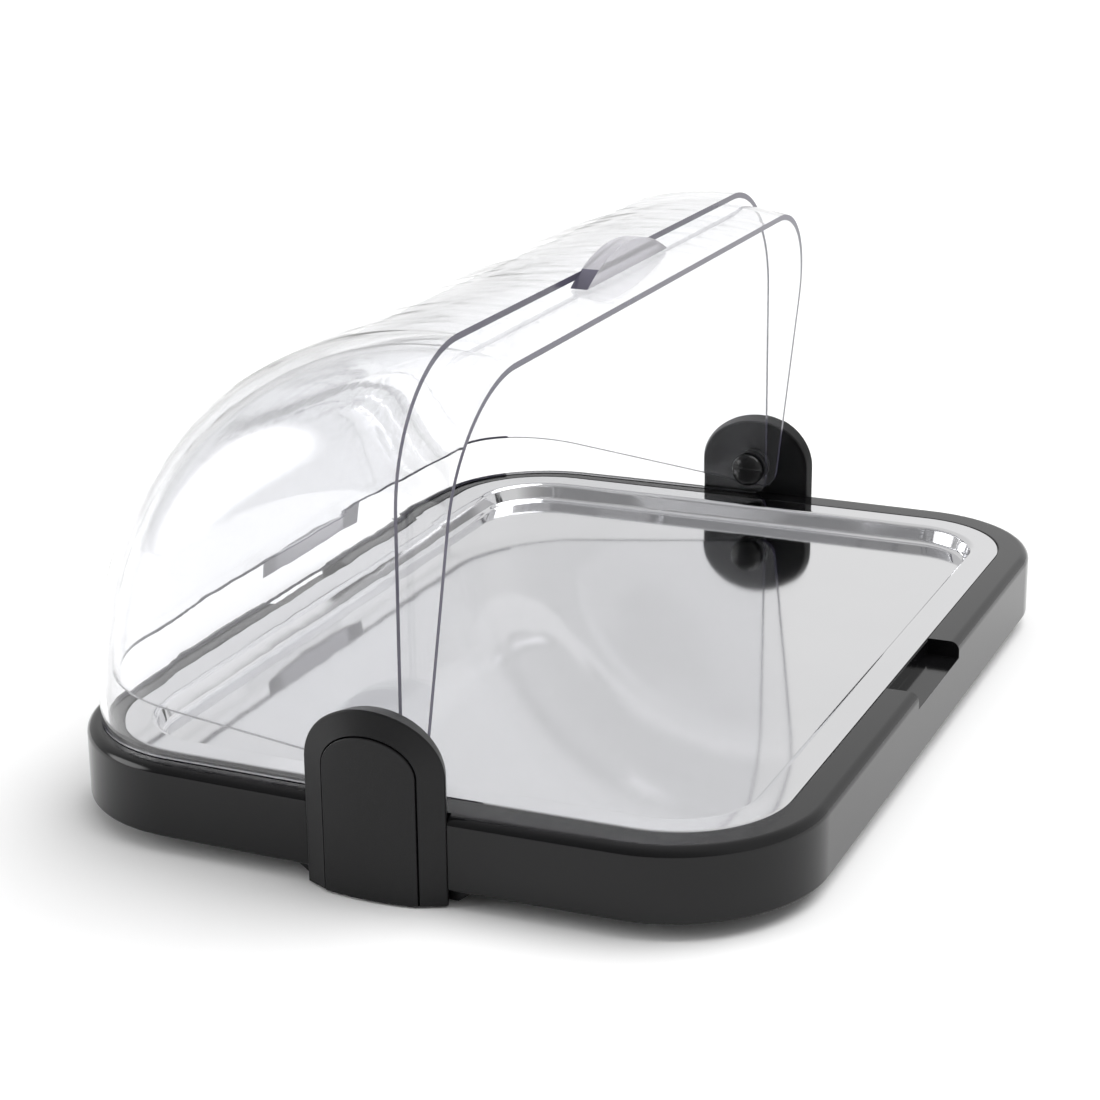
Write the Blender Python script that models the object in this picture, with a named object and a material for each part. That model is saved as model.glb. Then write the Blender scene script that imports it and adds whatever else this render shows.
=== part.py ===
"""Roll-top buffet display tray: a black base with a steel tray, under two clear quarter-round hoods.

Metres, +Z up. X runs along the long side, the front long side is at -Y, and z = 0 is the surface
that the rubber feet stand on. Every object is one sub-part at its rest position.
"""

from math import asin, atan2, ceil, cos, hypot, pi, radians, sin, sqrt

import bmesh
import bpy
from mathutils import Matrix, Vector

# Clearances
SEAT_GAP = 0.0003  # between two pieces that touch
SLIDE_GAP = 0.0005  # around a piece that lifts or drops out by hand

SIDES = (("left", -1), ("right", 1))

# Base frame
BASE_LENGTH = 0.440
BASE_WIDTH = 0.320
BASE_CORNER = 0.062  # plan radius of the outer corners
END_BOW = 0.0035  # how far the short sides bulge in their middle
SEAM_BOW = 0.0010  # the same, where the tray meets the ledge
BASE_HEIGHT = 0.0305
LEDGE_SPARE = 0.0007  # ledge left between the inner hood and the tray
TOP_ROUND = 0.0042
BASE_WALL = 0.0026
LIP_WALL = 0.0021  # thinner lower lip, around the base pan
LIP_ROUND = 0.0010
SEAM_ROUND = 0.0005  # the ledge's edge beside the tray
SHELF_WIDTH = 0.0110  # carries the tray's rim
SHELF_THICK = 0.0024
NOTCH_LENGTH = 0.066
NOTCH_DEPTH = 0.0075

# Feet and base pan
FOOT_HEIGHT = 0.0070
FOOT_RADIUS = 0.0095
FOOT_INSET_X = 0.060
FOOT_INSET_Y = 0.045
FOOT_ROUND = 0.0012
FOOT_TAPER = 0.0004
PAN_THICK = 0.0022
BOSS_RADIUS = 0.0038
PAN_SCREW_RADIUS = 0.0015
PAN_SCREW_LENGTH = 0.0100
SCREW_HEAD_RADIUS = 0.0030
SCREW_HEAD_HEIGHT = 0.0014
BOSS_INSET = 0.0206  # from the outside of the base to a boss's axis

# Steel tray
SHEET = 0.0008
RIM_WIDTH = 0.0125
TRAY_DEPTH = 0.0085
TRAY_SLOPE = 0.0045  # how far the wall leans in over its depth
TRAY_BEND = 0.0016

# Gel packs
PACK_SIDE_INSET = 0.035  # from the outside of the base's long side
PACK_END_INSET = 0.026
PACK_APART = 0.004
PACK_CLEAR = 0.0013  # under the tray
PACK_CORNER = 0.034
PACK_ROUND = 0.0035
PLUG_RADIUS = 0.0085
PLUG_HEIGHT = 0.0016
PLUG_EDGE = 0.0004

# Hoods
HOOD_SETBACK = 0.0050  # outer hood's outside, in from the base's outside
HOOD_CORNER = 0.058
HOOD_DRAFT = 0.012  # how much the side walls widen towards the axis
HOOD_WALL = 0.0028
HOOD_APART = 0.0033  # between the outer hood's inside and the inner hood's outside
EDGE_DROP = 0.0150  # from the axis down to what rests on the ledge: an edge, or a grip tab
INNER_RAISED = 6.5  # degrees: how far the inner hood is lifted off the rear ledge
HOOD_STEPS = 20
RIM_STEP = 0.0016  # spacing of points along the free edge under the pivot

# Grip tabs
TAB_LENGTH = 0.094
TAB_THICK = 0.0075
TAB_CLEAR = 0.0004  # between the outer hood's tab and the inner hood
TAB_RISE = 0.0065  # arch above the wall's outer face, on the outer hood
INNER_TAB_CLEAR = 0.0016
TAB_ROOT = 0.0006  # how far the tab reaches into the hood's edge

# Pivots
PIN_RADIUS = 0.0030
PIN_FIT = 0.00005
KNOB_RADIUS = 0.0085
KNOB_HEIGHT = 0.0065
WASHER_RADIUS = 0.0085
WASHER_HOLE = 0.0034
WASHER_GAP = 0.0002
PIN_EDGE = 0.0004
PIN_IN_KNOB = 0.55  # share of the knob's height that the pin fills
KNOB_BRIM = 0.0015

# Hinge brackets
BRACKET_WIDTH = 0.0600
BRACKET_RISE = 0.0250  # from the axis to the top of the arch
BRACKET_PLATE = 0.0070  # thickness at its side edges
BRACKET_BULGE = 0.0042
BRACKET_DRAFT = 0.0014  # how much smaller the arch is at its back
BRACKET_SEAT = 0.0045  # how deep the bracket's back sits into the base's short side
BRACKET_FLOOR = 0.0010  # from the standing surface up to the bracket
BRACKET_BEVEL = 0.0028
COVER_INSET = 0.0102
COVER_THICK = 0.0018
COVER_PROUD = 0.0009
COVER_GROOVE = 0.0006
COVER_BEVEL = 0.0007
CLAMP_FLARE = 0.0095
CLAMP_DEPTH = 0.0200
CLAMP_SHOULDER = 0.0020
BRACKET_SCREW_RADIUS = 0.0016
BRACKET_SCREW_HEAD = 0.0032
BRACKET_SCREW_DROP = 0.0260  # from the axis down to the screws
BRACKET_SCREW_APART = 0.0300
BRACKET_SCREW_LENGTH = 0.0140
BRACKET_SCREW_SINK = 0.0006  # head below the cover's recess
CLAMP_SCREW_LENGTH = 0.0160
PIN_DEPTH = 0.0036  # how far the pin goes into the bracket

# Cutters run past the faces that they open
OVERCUT = 0.010
SOLID_BEHIND = 0.040  # how far in from the outside the notches and brackets are backed

# Derived places
BASE_BOTTOM = FOOT_HEIGHT
BASE_TOP = BASE_BOTTOM + BASE_HEIGHT
AXIS_Z = BASE_TOP + SEAT_GAP + EDGE_DROP
HALF_LENGTH = BASE_LENGTH / 2
HALF_WIDTH = BASE_WIDTH / 2
HOOD_NEST = HOOD_WALL + HOOD_APART  # inner hood's outside, in from the outer hood's
TAB_DROP = HOOD_APART - TAB_CLEAR  # chord below the wall's inner face, on the outer hood only
HOOD_RADIUS = HALF_WIDTH - HOOD_SETBACK
HOOD_HALF_LENGTH = HALF_LENGTH - HOOD_SETBACK  # at the rounded corner
LEDGE_WIDTH = HOOD_SETBACK + HOOD_NEST + HOOD_WALL + LEDGE_SPARE
END_X = HALF_LENGTH + END_BOW
BRACKET_BACK_X = END_X - BRACKET_SEAT
SHELF_TOP = BASE_TOP - SHEET - SEAT_GAP
PAN_TOP = BASE_BOTTOM + PAN_THICK
TRAY_FLOOR_TOP = BASE_TOP - TRAY_DEPTH
PACK_LOW = PAN_TOP + SEAT_GAP
PACK_HEIGHT = TRAY_FLOOR_TOP - SHEET - PACK_CLEAR - PLUG_HEIGHT - SEAT_GAP - PACK_LOW
PACK_LENGTH = HALF_LENGTH - PACK_END_INSET - PACK_APART / 2
PACK_WIDTH = BASE_WIDTH - 2 * PACK_SIDE_INSET


# ---------------------------------------------------------------- helpers

def clear_scene():
    for obj in list(bpy.data.objects):
        bpy.data.objects.remove(obj, do_unlink=True)


def material(name, colour, roughness, metallic=0.0, alpha=1.0):
    made = bpy.data.materials.new(name)
    made.use_nodes = True
    shader = made.node_tree.nodes["Principled BSDF"]
    shader.inputs["Base Color"].default_value = (*colour, 1.0)
    shader.inputs["Roughness"].default_value = roughness
    shader.inputs["Metallic"].default_value = metallic
    shader.inputs["Alpha"].default_value = alpha
    made.diffuse_color = (*colour, alpha)
    return made


def new_object(name, bm, surface=None, origin=(0, 0, 0), smooth_angle=35):
    """Link a bmesh as an object whose origin is at the given world point."""
    bmesh.ops.recalc_face_normals(bm, faces=bm.faces)
    bmesh.ops.translate(bm, verts=bm.verts, vec=-Vector(origin))
    mesh = bpy.data.meshes.new(name)
    bm.to_mesh(mesh)
    bm.free()
    obj = bpy.data.objects.new(name, mesh)
    obj.location = origin
    bpy.context.scene.collection.objects.link(obj)
    mesh.shade_smooth()
    mesh.set_sharp_from_angle(angle=radians(smooth_angle))
    if surface:
        mesh.materials.append(surface)
    return obj


def cutter(name, bm):
    obj = new_object(name, bm)
    obj.hide_render = True
    obj.display_type = "WIRE"
    obj.hide_set(True)
    return obj


def boolean(obj, other, operation="DIFFERENCE"):
    step = obj.modifiers.new(other.name, "BOOLEAN")
    step.operation = operation
    step.object = other
    step.solver = "EXACT"


def add_box(bm, low, high):
    centre = (Vector(low) + Vector(high)) / 2
    size = Vector(high) - Vector(low)
    bmesh.ops.create_cube(bm, size=1, matrix=Matrix.Translation(centre) @ Matrix.Diagonal((*size, 1)))


def turned(bm, profile, centre, axis, steps=24):
    """Close a turned solid from (distance along axis, radius) points; a radius of 0 is a pole."""
    turn = Vector(axis).to_track_quat("Z", "Y").to_matrix().to_4x4()
    place = Matrix.Translation(Vector(centre)) @ turn
    rings = []
    for along, radius in profile:
        if radius < 1e-9:
            rings.append([bm.verts.new(place @ Vector((0, 0, along)))])
            continue
        ring_points = []
        for i in range(steps):
            angle = 2 * pi * i / steps
            point = Vector((radius * cos(angle), radius * sin(angle), along))
            ring_points.append(bm.verts.new(place @ point))
        rings.append(ring_points)
    closed = profile[0][1] > 1e-9 and profile[-1][1] > 1e-9
    pairs = list(zip(rings, rings[1:])) + ([(rings[-1], rings[0])] if closed else [])
    for first, second in pairs:
        for i in range(steps):
            j = (i + 1) % steps
            corners = [first[i % len(first)], first[j % len(first)]]
            corners += [second[j % len(second)], second[i % len(second)]]
            unique = [v for k, v in enumerate(corners) if v not in corners[:k]]
            bm.faces.new(unique)


def arc(centre, radius, start, end, steps):
    """Points along an arc, in degrees."""
    angles = [radians(start + (end - start) * i / steps) for i in range(steps + 1)]
    return [(centre[0] + radius * cos(a), centre[1] + radius * sin(a)) for a in angles]


def plan_outline(inset, corner_steps=7, end_steps=4):
    """The base's plan outline moved in by inset: round corners, straight long sides, bowed short sides."""
    half_x = HALF_LENGTH - inset
    half_y = HALF_WIDTH - inset
    corner = BASE_CORNER - inset
    points = []
    for sign_x, sign_y, start in ((1, 1, 0), (-1, 1, 90), (-1, -1, 180), (1, -1, 270)):
        centre = (sign_x * (half_x - corner), sign_y * (half_y - corner))
        points += arc(centre, corner, start, start + 90, corner_steps)
        if sign_x == -sign_y:
            side = half_y - corner
            for step in range(1, end_steps):
                points.append((sign_x * half_x, sign_y * side * (1 - 2 * step / end_steps)))
    bow = END_BOW + (SEAM_BOW - END_BOW) * min(inset / LEDGE_WIDTH, 1)
    return [(x + bow * (1 - (y / half_y) ** 2) * x / half_x, y) for x, y in points]


def add_loops(bm, loops):
    """Make each loop of points a ring of vertices, and join each ring to the next with quads."""
    rings = [[bm.verts.new(point) for point in loop] for loop in loops]
    for first, second in zip(rings, rings[1:]):
        join_rings(bm, first, second)
    return rings


def join_rings(bm, first, second):
    for i in range(len(first)):
        j = (i + 1) % len(first)
        bm.faces.new((first[i], first[j], second[j], second[i]))


def ring_round_base(bm, profile):
    """Sweep a closed (inset, height) profile round the base's plan outline."""
    rings = add_loops(bm, [[(x, y, z) for x, y in plan_outline(inset)] for inset, z in profile])
    join_rings(bm, rings[-1], rings[0])


def capped(bm, loops):
    rings = add_loops(bm, loops)
    bm.faces.new(rings[0])
    bm.faces.new(rings[-1])


def slab(bm, centre, half_x, half_y, corner, low, high, edge):
    """A flat slab with round corners in plan and rounded top and bottom edges."""
    loops = []
    for inset, z in arc((edge, low + edge), edge, 270, 180, 2) + arc((edge, high - edge), edge, 180, 90, 2):
        points = []
        for sign_x, sign_y, start in ((1, 1, 0), (-1, 1, 90), (-1, -1, 180), (1, -1, 270)):
            middle = (centre[0] + sign_x * (half_x - corner), centre[1] + sign_y * (half_y - corner))
            points += arc(middle, corner - inset, start, start + 90, 4)
        loops.append([(x, y, z) for x, y in points])
    capped(bm, loops)


def solid_from_skin(bm, faces, outer, inner):
    """Close a skin into a wall: the same faces on outer and inner points, joined along their free edges."""
    top = [bm.verts.new(point) for point in outer]
    under = [bm.verts.new(point) for point in inner]
    uses = {}
    for face in faces:
        bm.faces.new([top[i] for i in face])
        bm.faces.new([under[i] for i in reversed(face)])
        for a, b in zip(face, face[1:] + face[:1]):
            uses.setdefault(frozenset((a, b)), []).append((a, b))
    for used in uses.values():
        if len(used) == 1:
            a, b = used[0]
            bm.faces.new((top[b], top[a], under[a], under[b]))


# ---------------------------------------------------------------- base

def screw_profile(grow=0.0, length=PAN_SCREW_LENGTH, radius=PAN_SCREW_RADIUS, head=SCREW_HEAD_RADIUS):
    """(distance, radius) points of a flat-headed screw; grow makes the hole that it drops into."""
    start = -4 * grow
    return [
        (start, 0.0),
        (start, head + grow),
        (SCREW_HEAD_HEIGHT + grow, head + grow),
        (SCREW_HEAD_HEIGHT + grow, radius + grow),
        (length + grow, radius + grow),
        (length + grow, 0.0),
    ]


def pan_screw_places():
    corner = BASE_CORNER - BOSS_INSET
    reach = corner * sqrt(0.5)
    for sign_x in (-1, 1):
        for sign_y in (-1, 1):
            x = sign_x * (HALF_LENGTH - BASE_CORNER + reach)
            y = sign_y * (HALF_WIDTH - BASE_CORNER + reach)
            yield x, y


def bracket_screw_places(side):
    x = side * (BRACKET_BACK_X + BRACKET_PLATE - COVER_THICK - BRACKET_SCREW_SINK)
    for sign in (-1, 1):
        yield Vector((x, sign * BRACKET_SCREW_APART / 2, AXIS_Z - BRACKET_SCREW_DROP))


def clamp_screw_place(side):
    return Vector((side * (BRACKET_BACK_X - CLAMP_DEPTH / 2), 0, BRACKET_FLOOR + SEAT_GAP))


def screw_hole_cutter():
    bm = bmesh.new()
    for x, y in pan_screw_places():
        turned(bm, screw_profile(SEAT_GAP), (x, y, BASE_BOTTOM + SEAT_GAP), (0, 0, 1), 10)
    for side in (-1, 1):
        for place in bracket_screw_places(side):
            profile = screw_profile(SEAT_GAP, BRACKET_SCREW_LENGTH, BRACKET_SCREW_RADIUS, BRACKET_SCREW_HEAD)
            turned(bm, profile, place, (-side, 0, 0), 10)
        profile = screw_profile(SEAT_GAP, CLAMP_SCREW_LENGTH, BRACKET_SCREW_RADIUS, BRACKET_SCREW_HEAD)
        turned(bm, profile, clamp_screw_place(side), (0, 0, 1), 10)
    return cutter("screw_hole_cutter", bm)


def bracket_pocket_cutter():
    """The two pockets in the short sides that the brackets stand in."""
    half = BRACKET_WIDTH / 2 + SEAT_GAP
    bm = bmesh.new()
    for side in (-1, 1):
        xs = sorted((side * (BRACKET_BACK_X - SEAT_GAP), side * (END_X + OVERCUT)))
        add_box(bm, (xs[0], -half, -OVERCUT), (xs[1], half, BASE_TOP + OVERCUT))
    return cutter("bracket_pocket_cutter", bm)


def notch_cutter():
    """A finger notch in the middle of each long side."""
    bm = bmesh.new()
    for side in (-1, 1):
        near = side * (HALF_WIDTH - LEDGE_WIDTH)
        far = side * (HALF_WIDTH + OVERCUT)
        ys = sorted((near, far))
        low = BASE_TOP - NOTCH_DEPTH
        add_box(bm, (-NOTCH_LENGTH / 2, ys[0], low), (NOTCH_LENGTH / 2, ys[1], BASE_TOP + OVERCUT))
    return cutter("notch_cutter", bm)


def base_hollow():
    """The hollow inside the base's rim, open below, left solid behind the notches and the brackets."""
    bm = bmesh.new()
    inner_wall = LEDGE_WIDTH + SEAT_GAP
    low = BASE_BOTTOM + LIP_ROUND + SEAT_GAP
    high = BASE_TOP - BASE_WALL
    profile = [(BASE_WALL, low), (BASE_WALL, high - TOP_ROUND * 0.5), (BASE_WALL + TOP_ROUND * 0.5, high)]
    ring_round_base(bm, profile + [(inner_wall, high), (inner_wall, low)])
    hollow = cutter("base_hollow", bm)
    blocks = bmesh.new()
    for side in (-1, 1):
        ys = sorted((side * (HALF_WIDTH - SOLID_BEHIND), side * (HALF_WIDTH + OVERCUT)))
        half = NOTCH_LENGTH / 2 + BASE_WALL
        add_box(blocks, (-half, ys[0], 0), (half, ys[1], BASE_TOP + OVERCUT))
        xs = sorted((side * (HALF_LENGTH - SOLID_BEHIND), side * (END_X + OVERCUT)))
        half = BRACKET_WIDTH / 2 + BASE_WALL
        add_box(blocks, (xs[0], -half, 0), (xs[1], half, BASE_TOP + OVERCUT))
    boolean(hollow, cutter("kept_solid_blocks", blocks))
    return hollow


def base_frame(surface, pockets, screw_holes):
    inner_wall = LEDGE_WIDTH + SEAT_GAP + BASE_WALL
    shelf_edge = LEDGE_WIDTH + SHELF_WIDTH
    rounding = arc((TOP_ROUND, BASE_TOP - TOP_ROUND), TOP_ROUND, 180, 90, 4)
    profile = [(LIP_ROUND, BASE_BOTTOM), (0.0, BASE_BOTTOM + LIP_ROUND), *rounding]
    profile += [
        (LEDGE_WIDTH - SEAM_ROUND, BASE_TOP),
        (LEDGE_WIDTH, BASE_TOP - SEAM_ROUND),
        (LEDGE_WIDTH, SHELF_TOP),
        (shelf_edge, SHELF_TOP),
        (shelf_edge, SHELF_TOP - SHELF_THICK),
        (inner_wall, SHELF_TOP - SHELF_THICK),
        (inner_wall, PAN_TOP + SEAT_GAP),
        (LIP_WALL, PAN_TOP + SEAT_GAP),
        (LIP_WALL, BASE_BOTTOM),
    ]
    bm = bmesh.new()
    ring_round_base(bm, profile)
    frame = new_object("base_frame", bm, surface)
    bosses = bmesh.new()
    for x, y in pan_screw_places():
        low, high = PAN_TOP + SEAT_GAP, SHELF_TOP - SHELF_THICK / 2
        post = [(low, 0), (low, BOSS_RADIUS), (high, BOSS_RADIUS), (high, 0)]
        turned(bosses, post, (x, y, 0), (0, 0, 1), 14)
    boolean(frame, cutter("boss_bodies", bosses), "UNION")
    boolean(frame, base_hollow())
    boolean(frame, pockets)
    boolean(frame, notch_cutter())
    boolean(frame, screw_holes)


def base_pan(surface, pockets, screw_holes):
    bm = bmesh.new()
    inset = LIP_WALL + SEAT_GAP
    capped(bm, [[(x, y, z) for x, y in plan_outline(inset)] for z in (BASE_BOTTOM, PAN_TOP)])
    pan = new_object("base_pan", bm, surface)
    boolean(pan, pockets)
    boolean(pan, screw_holes)


def feet(surface):
    top = BASE_BOTTOM - SEAT_GAP
    profile = [(0, 0), (0, FOOT_RADIUS - FOOT_ROUND), (FOOT_ROUND, FOOT_RADIUS)]
    profile += [(top, FOOT_RADIUS - FOOT_TAPER), (top, 0)]
    for name_y, sign_y in (("front", -1), ("rear", 1)):
        for name_x, sign_x in (("left", -1), ("right", 1)):
            bm = bmesh.new()
            place = (sign_x * (HALF_LENGTH - FOOT_INSET_X), sign_y * (HALF_WIDTH - FOOT_INSET_Y), 0)
            turned(bm, profile, place, (0, 0, 1), 18)
            new_object(f"foot_{name_y}_{name_x}", bm, surface, place)


def screws(surface):
    for index, (x, y) in enumerate(pan_screw_places(), 1):
        bm = bmesh.new()
        place = (x, y, BASE_BOTTOM + SEAT_GAP)
        turned(bm, screw_profile(), place, (0, 0, 1), 10)
        new_object(f"pan_screw_{index}", bm, surface, place)
    for name, side in SIDES:
        for index, place in enumerate(bracket_screw_places(side), 1):
            bm = bmesh.new()
            profile = screw_profile(0, BRACKET_SCREW_LENGTH, BRACKET_SCREW_RADIUS, BRACKET_SCREW_HEAD)
            turned(bm, profile, place, (-side, 0, 0), 10)
            new_object(f"bracket_screw_{name}_{index}", bm, surface, place)
        bm = bmesh.new()
        profile = screw_profile(0, CLAMP_SCREW_LENGTH, BRACKET_SCREW_RADIUS, BRACKET_SCREW_HEAD)
        place = clamp_screw_place(side)
        turned(bm, profile, place, (0, 0, 1), 10)
        new_object(f"clamp_screw_{name}", bm, surface, place)


# ---------------------------------------------------------------- tray and packs

def steel_tray(surface):
    start = LEDGE_WIDTH + SLIDE_GAP
    bend_at = start + RIM_WIDTH
    foot_at = bend_at + TRAY_SLOPE
    top = [(start, BASE_TOP), (bend_at - TRAY_BEND, BASE_TOP)]
    top += [(bend_at - TRAY_BEND * 0.2, BASE_TOP - TRAY_BEND * 0.35)]
    top += [(bend_at + TRAY_SLOPE * 0.2, BASE_TOP - TRAY_BEND)]
    top += [(foot_at - TRAY_SLOPE * 0.2, TRAY_FLOOR_TOP + TRAY_BEND)]
    top += [(foot_at + TRAY_BEND * 0.2, TRAY_FLOOR_TOP + TRAY_BEND * 0.35)]
    top += [(foot_at + TRAY_BEND, TRAY_FLOOR_TOP)]
    under = []
    for i, point in enumerate(top):
        before = Vector(top[max(i - 1, 0)])
        after = Vector(top[min(i + 1, len(top) - 1)])
        along = (after - before).normalized()
        under.append((point[0] + along.y * SHEET, point[1] - along.x * SHEET))
    loops = [[(x, y, z) for x, y in plan_outline(inset)] for inset, z in list(reversed(top)) + under]
    bm = bmesh.new()
    capped(bm, loops)
    new_object("steel_tray", bm, surface)


def gel_packs(body, cap):
    low = PACK_LOW
    for name, side in SIDES:
        centre = (side * (PACK_LENGTH + PACK_APART) / 2, 0)
        bm = bmesh.new()
        slab(bm, centre, PACK_LENGTH / 2, PACK_WIDTH / 2, PACK_CORNER, low, low + PACK_HEIGHT, PACK_ROUND)
        new_object(f"gel_pack_{name}", bm, body, (*centre, low))
        bm = bmesh.new()
        place = (centre[0], PACK_WIDTH / 2 - PACK_CORNER, low + PACK_HEIGHT + SEAT_GAP)
        profile = [(0, 0), (0, PLUG_RADIUS), (PLUG_HEIGHT - PLUG_EDGE, PLUG_RADIUS)]
        profile += [(PLUG_HEIGHT, PLUG_RADIUS - PLUG_EDGE), (PLUG_HEIGHT, 0)]
        turned(bm, profile, place, (0, 0, 1), 14)
        new_object(f"pack_plug_{name}", bm, cap, place)


# ---------------------------------------------------------------- hoods

def hood_profile(radius, half_length, corner):
    """(x, radius) rows from the left pivot over the top to the right pivot."""
    straight = radius - corner
    rows = [EDGE_DROP + (straight - EDGE_DROP) * share for share in (0, 0.12, 0.45)]
    side = [(half_length + HOOD_DRAFT * (straight - row), row) for row in rows]
    side += arc((half_length - corner, straight), corner, 0, 90, 7)
    return [(-x, row) for x, row in side] + [(x, row) for x, row in reversed(side)]


def hood_rim(rear, front):
    """The free boundary round the pivot, from the front edge to the rear edge, in (y, z)."""
    reach = EDGE_DROP
    round_by = min(rear, front)
    start = (-front, sqrt(max(reach**2 - front**2, 0)))
    end = (sqrt(max(reach**2 - rear**2, 0)), -rear)
    corner = arc((-front + round_by, -rear + round_by), round_by, 180, 270, 8)
    points = [start]
    for target in corner + [end]:
        gap = hypot(target[0] - points[-1][0], target[1] - points[-1][1])
        pieces = ceil(gap / RIM_STEP)
        origin = points[-1]
        for piece in range(1, pieces + 1):
            share = piece / pieces
            y = origin[0] + (target[0] - origin[0]) * share
            z = origin[1] + (target[1] - origin[1]) * share
            points.append((y, z))
    return points[1:-1]


def hood_points(radius, half_length, corner, rear, front):
    """Points of one skin of a hood, about the axis: the swept rows, then each pivot's rim and hole."""
    profile = hood_profile(radius, half_length, corner)
    points = []
    for x, row in profile:
        start = -asin(min(rear / row, 1))
        end = pi / 2 + asin(min(front / row, 1))
        for step in range(HOOD_STEPS + 1):
            angle = start + (end - start) * step / HOOD_STEPS
            points.append((x, row * cos(angle), row * sin(angle)))
    rim = hood_rim(rear, front)
    width = HOOD_STEPS + 1
    for x, first in ((profile[0][0], 0), (profile[-1][0], (len(profile) - 1) * width)):
        points += [(x, y, z) for y, z in rim]
        loop = [point[1:] for point in points[first:first + width]] + rim
        hole = PIN_RADIUS + PIN_FIT
        for y, z in loop:
            angle = atan2(z, y)
            points.append((x, hole * cos(angle), hole * sin(angle)))
    return points


def hood_faces(rows, rim):
    """Faces over the points of hood_points."""
    width = HOOD_STEPS + 1
    faces = []
    for row in range(rows - 1):
        for step in range(HOOD_STEPS):
            a = row * width + step
            faces.append([a, a + 1, a + 1 + width, a + width])
    base = rows * width
    for first, flip in ((0, False), ((rows - 1) * width, True)):
        loop = list(range(first, first + width)) + list(range(base, base + rim))
        hole = list(range(base + rim, base + rim + len(loop)))
        for i in range(len(loop)):
            j = (i + 1) % len(loop)
            face = [loop[i], hole[i], hole[j], loop[j]]
            faces.append(face if flip else face[::-1])
        base += rim + len(loop)
    return faces


def grip_tab(radius, drop, rise, turn):
    """A half-moon flange beyond the edge at the top of a hood; turn places it on the front or rear edge."""
    low = radius - HOOD_WALL - drop
    high = radius + rise
    half = TAB_LENGTH / 2
    bow = high - low
    arch_radius = (half**2 + bow**2) / (2 * bow)
    spread = asin(half / arch_radius)
    centre = high - arch_radius
    steps = 12
    outline = []
    for step in range(steps + 1):
        angle = -spread + 2 * spread * step / steps
        outline.append((arch_radius * sin(angle), centre + arch_radius * cos(angle)))
    near = -(EDGE_DROP - TAB_THICK) + TAB_ROOT
    far = -EDGE_DROP
    bm = bmesh.new()
    capped(bm, [[(x, y, z) for x, z in outline] for y in (near, far)])
    bmesh.ops.transform(bm, verts=bm.verts, matrix=turn)
    return bm


def hood(name, surface, radius, half_length, corner, tab_in_front, raised, drop, rise):
    plain, tabbed = EDGE_DROP, EDGE_DROP - TAB_THICK
    rear, front = (plain, tabbed) if tab_in_front else (tabbed, plain)
    outer = hood_points(radius, half_length, corner, rear, front)
    inner = hood_points(radius - HOOD_WALL, half_length - HOOD_WALL, corner - HOOD_WALL, rear, front)
    rows = len(hood_profile(radius, half_length, corner))
    bm = bmesh.new()
    solid_from_skin(bm, hood_faces(rows, len(hood_rim(rear, front))), outer, inner)
    tilt = Matrix.Rotation(radians(raised), 4, "X")
    place = Matrix.Translation((0, 0, AXIS_Z))
    bmesh.ops.transform(bm, matrix=place @ tilt, verts=bm.verts)
    body = new_object(name, bm, surface, (0, 0, AXIS_Z))
    # On the rear edge the tab's height runs along +Y and its thickness down.
    swapped = Matrix(((1, 0, 0, 0), (0, 0, 1, 0), (0, 1, 0, 0), (0, 0, 0, 1)))
    turn = Matrix.Identity(4) if tab_in_front else swapped
    tab = cutter(f"{name}_tab", grip_tab(radius, drop, rise, place @ tilt @ turn))
    boolean(body, tab, "UNION")


def hoods(surface):
    hood("outer_hood", surface, HOOD_RADIUS, HOOD_HALF_LENGTH, HOOD_CORNER, True, 0, TAB_DROP, TAB_RISE)
    inner = HOOD_NEST
    rise = HOOD_APART - INNER_TAB_CLEAR
    size = (HOOD_RADIUS - inner, HOOD_HALF_LENGTH - inner, HOOD_CORNER - inner)
    hood("inner_hood", surface, *size, False, INNER_RAISED, 0, rise)


# ---------------------------------------------------------------- pivots and brackets

def wall_x_at_axis(inset):
    """Outside of a hood's side wall beside the pivot, for a hood that much smaller than the outer one."""
    straight = HOOD_RADIUS - HOOD_CORNER
    return HOOD_HALF_LENGTH - inset + HOOD_DRAFT * (straight - EDGE_DROP)


def ring(bm, inner, outer, start, end, side):
    profile = [(start, inner), (end, inner), (end, outer), (start, outer)]
    turned(bm, profile, (0, 0, AXIS_Z), (side, 0, 0), 18)


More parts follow.
